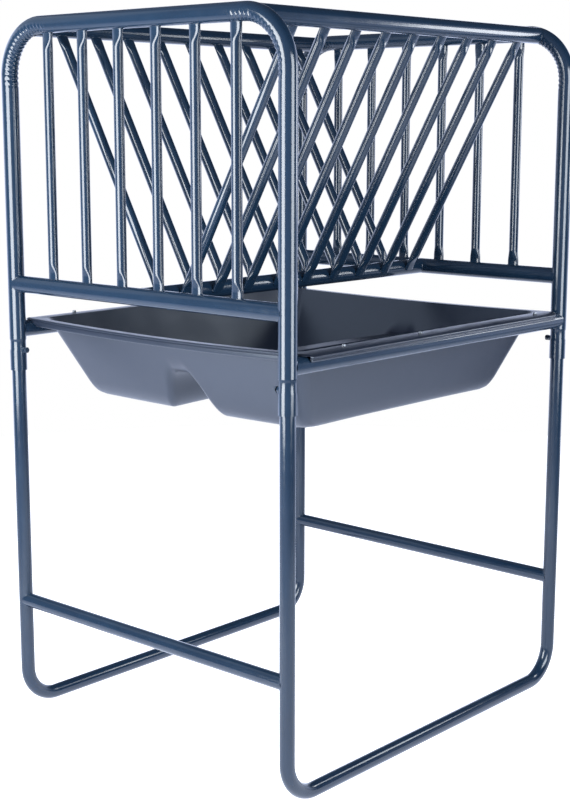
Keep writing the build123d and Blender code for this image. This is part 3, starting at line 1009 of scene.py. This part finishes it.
def studio_floor():
    """Round floor, white to the camera. To other rays it is tinted and fades to one side."""
    mesh = bpy.data.meshes.new("studio_floor")
    disc = [(FLOOR_RADIUS * math.cos(t), FLOOR_RADIUS * math.sin(t), 0) for t in angles(FLOOR_POINTS)]
    mesh.from_pydata(disc, [], [tuple(range(FLOOR_POINTS))])
    obj = bpy.data.objects.new("studio_floor", mesh)
    bpy.context.scene.collection.objects.link(obj)
    material, nodes, links, shader, where = principled("studio_floor_white")
    shader.inputs["Base Color"].default_value = FLOOR_TONE
    shader.inputs["Roughness"].default_value = 0.9
    across = along(nodes, links, where, FLOOR_FALL)
    strength = map_range(nodes, links, across, *FLOOR_FALL_SPAN, *FLOOR_GLOW)
    links.new(camera_mix(nodes, links, "FLOAT", strength, 1.0), shader.inputs["Emission Strength"])
    colour = camera_mix(nodes, links, "RGBA", (*ROOM_TINT, 1), WHITE)
    links.new(colour, shader.inputs["Emission Color"])
    mesh.materials.append(material)
    return obj


def studio_world():
    """Room that the part mirrors, white to the camera."""
    world = bpy.data.worlds.new("studio")
    bpy.context.scene.world = world
    world.use_nodes = True
    nodes, links = world.node_tree.nodes, world.node_tree.links
    background = next(n for n in nodes if n.type == "BACKGROUND")
    where = nodes.new("ShaderNodeTexCoord").outputs["Generated"]
    split = nodes.new("ShaderNodeSeparateXYZ")
    links.new(where, split.inputs["Vector"])

    def glow(direction, start, end, strength):
        """Part of the room that brightens towards one direction."""
        facing = along(nodes, links, where, tuple(Vector(direction).normalized()))
        return map_range(nodes, links, facing, start, end, 0.0, strength)

    def combine(operation, one, two):
        node = nodes.new("ShaderNodeMath")
        node.operation = operation
        feed(links, node.inputs[0], one)
        feed(links, node.inputs[1], two)
        return node.outputs["Value"]

    low_part = map_range(nodes, links, split.outputs["Z"], *BACKDROP_EDGE, 0.0, 1.0)
    backdrop = combine("MULTIPLY", glow((-0.66, 0.75, 0.0), 0.05, 0.40, 1.8), low_part)
    left_fill = glow((-0.80, -0.45, 0.40), 0.15, 1.0, 0.30)
    camera_fill = glow((0.60, -0.78, 0.10), 0.35, 1.0, 0.42)
    room = combine("ADD", combine("ADD", backdrop, left_fill), combine("ADD", camera_fill, ROOM_LEAST))
    tinted = nodes.new("ShaderNodeVectorMath")
    tinted.operation = "SCALE"
    tinted.inputs[0].default_value = ROOM_TINT
    links.new(room, tinted.inputs["Scale"])
    colour = camera_mix(nodes, links, "RGBA", tinted.outputs["Vector"], WHITE)
    links.new(colour, background.inputs["Color"])


def area_light(name, place, target, width, height, strength, colour):
    """Soft box at a place, in metres, facing a target. Strength is its radiance."""
    light = bpy.data.lights.new(name, "AREA")
    light.shape = "RECTANGLE"
    light.size = width
    light.size_y = height
    light.energy = strength * math.pi * width * height
    light.color = colour
    obj = bpy.data.objects.new(name, light)
    facing = (Vector(target) - Vector(place)).to_track_quat("-Z", "Y")
    obj.matrix_world = Matrix.Translation(place) @ facing.to_matrix().to_4x4()
    obj.visible_camera = False
    bpy.context.scene.collection.objects.link(obj)


def studio_camera():
    """Camera solved from the straight tubes of the photograph."""
    data = bpy.data.cameras.new("camera")
    data.lens = CAMERA_LENS
    data.sensor_width = 36.0
    data.clip_end = 100.0
    camera = bpy.data.objects.new("camera", data)
    yaw, pitch, roll = (math.radians(turn) for turn in CAMERA_TURNS)
    forward = (math.sin(yaw) * math.cos(pitch), math.cos(yaw) * math.cos(pitch), math.sin(pitch))
    forward = Vector(forward)
    right = forward.cross(Vector((0, 0, 1))).normalized()
    up = right.cross(forward)
    turned_right = right * math.cos(roll) + up * math.sin(roll)
    turned_up = up * math.cos(roll) - right * math.sin(roll)
    rotation = Matrix((turned_right, turned_up, -forward)).transposed()
    camera.matrix_world = Matrix.Translation(CAMERA_PLACE) @ rotation.to_4x4()
    bpy.context.scene.collection.objects.link(camera)
    bpy.context.scene.camera = camera


floor = studio_floor()
studio_world()
area_light("front_box", (-0.08, -2.12, 1.50), (-0.08, 0, 1.50), 1.25, 2.0, 17.0, (0.93, 0.97, 1.0))
area_light("side_box", (2.57, -0.20, 1.50), (0, -0.20, 1.50), 1.30, 2.0, 13.0, (0.88, 0.94, 1.0))
area_light("back_box", (1.40, 1.72, 1.60), (0, 0.22, 1.60), 0.5, 0.75, 11.0, (0.92, 0.96, 1.0))
area_light("left_box", (-1.75, -0.85, 2.30), (-0.1, 0.43, 0.93), 1.6, 1.4, 0.55, (0.80, 0.90, 1.0))
studio_camera()
bpy.context.scene.view_settings.view_transform = "Standard"
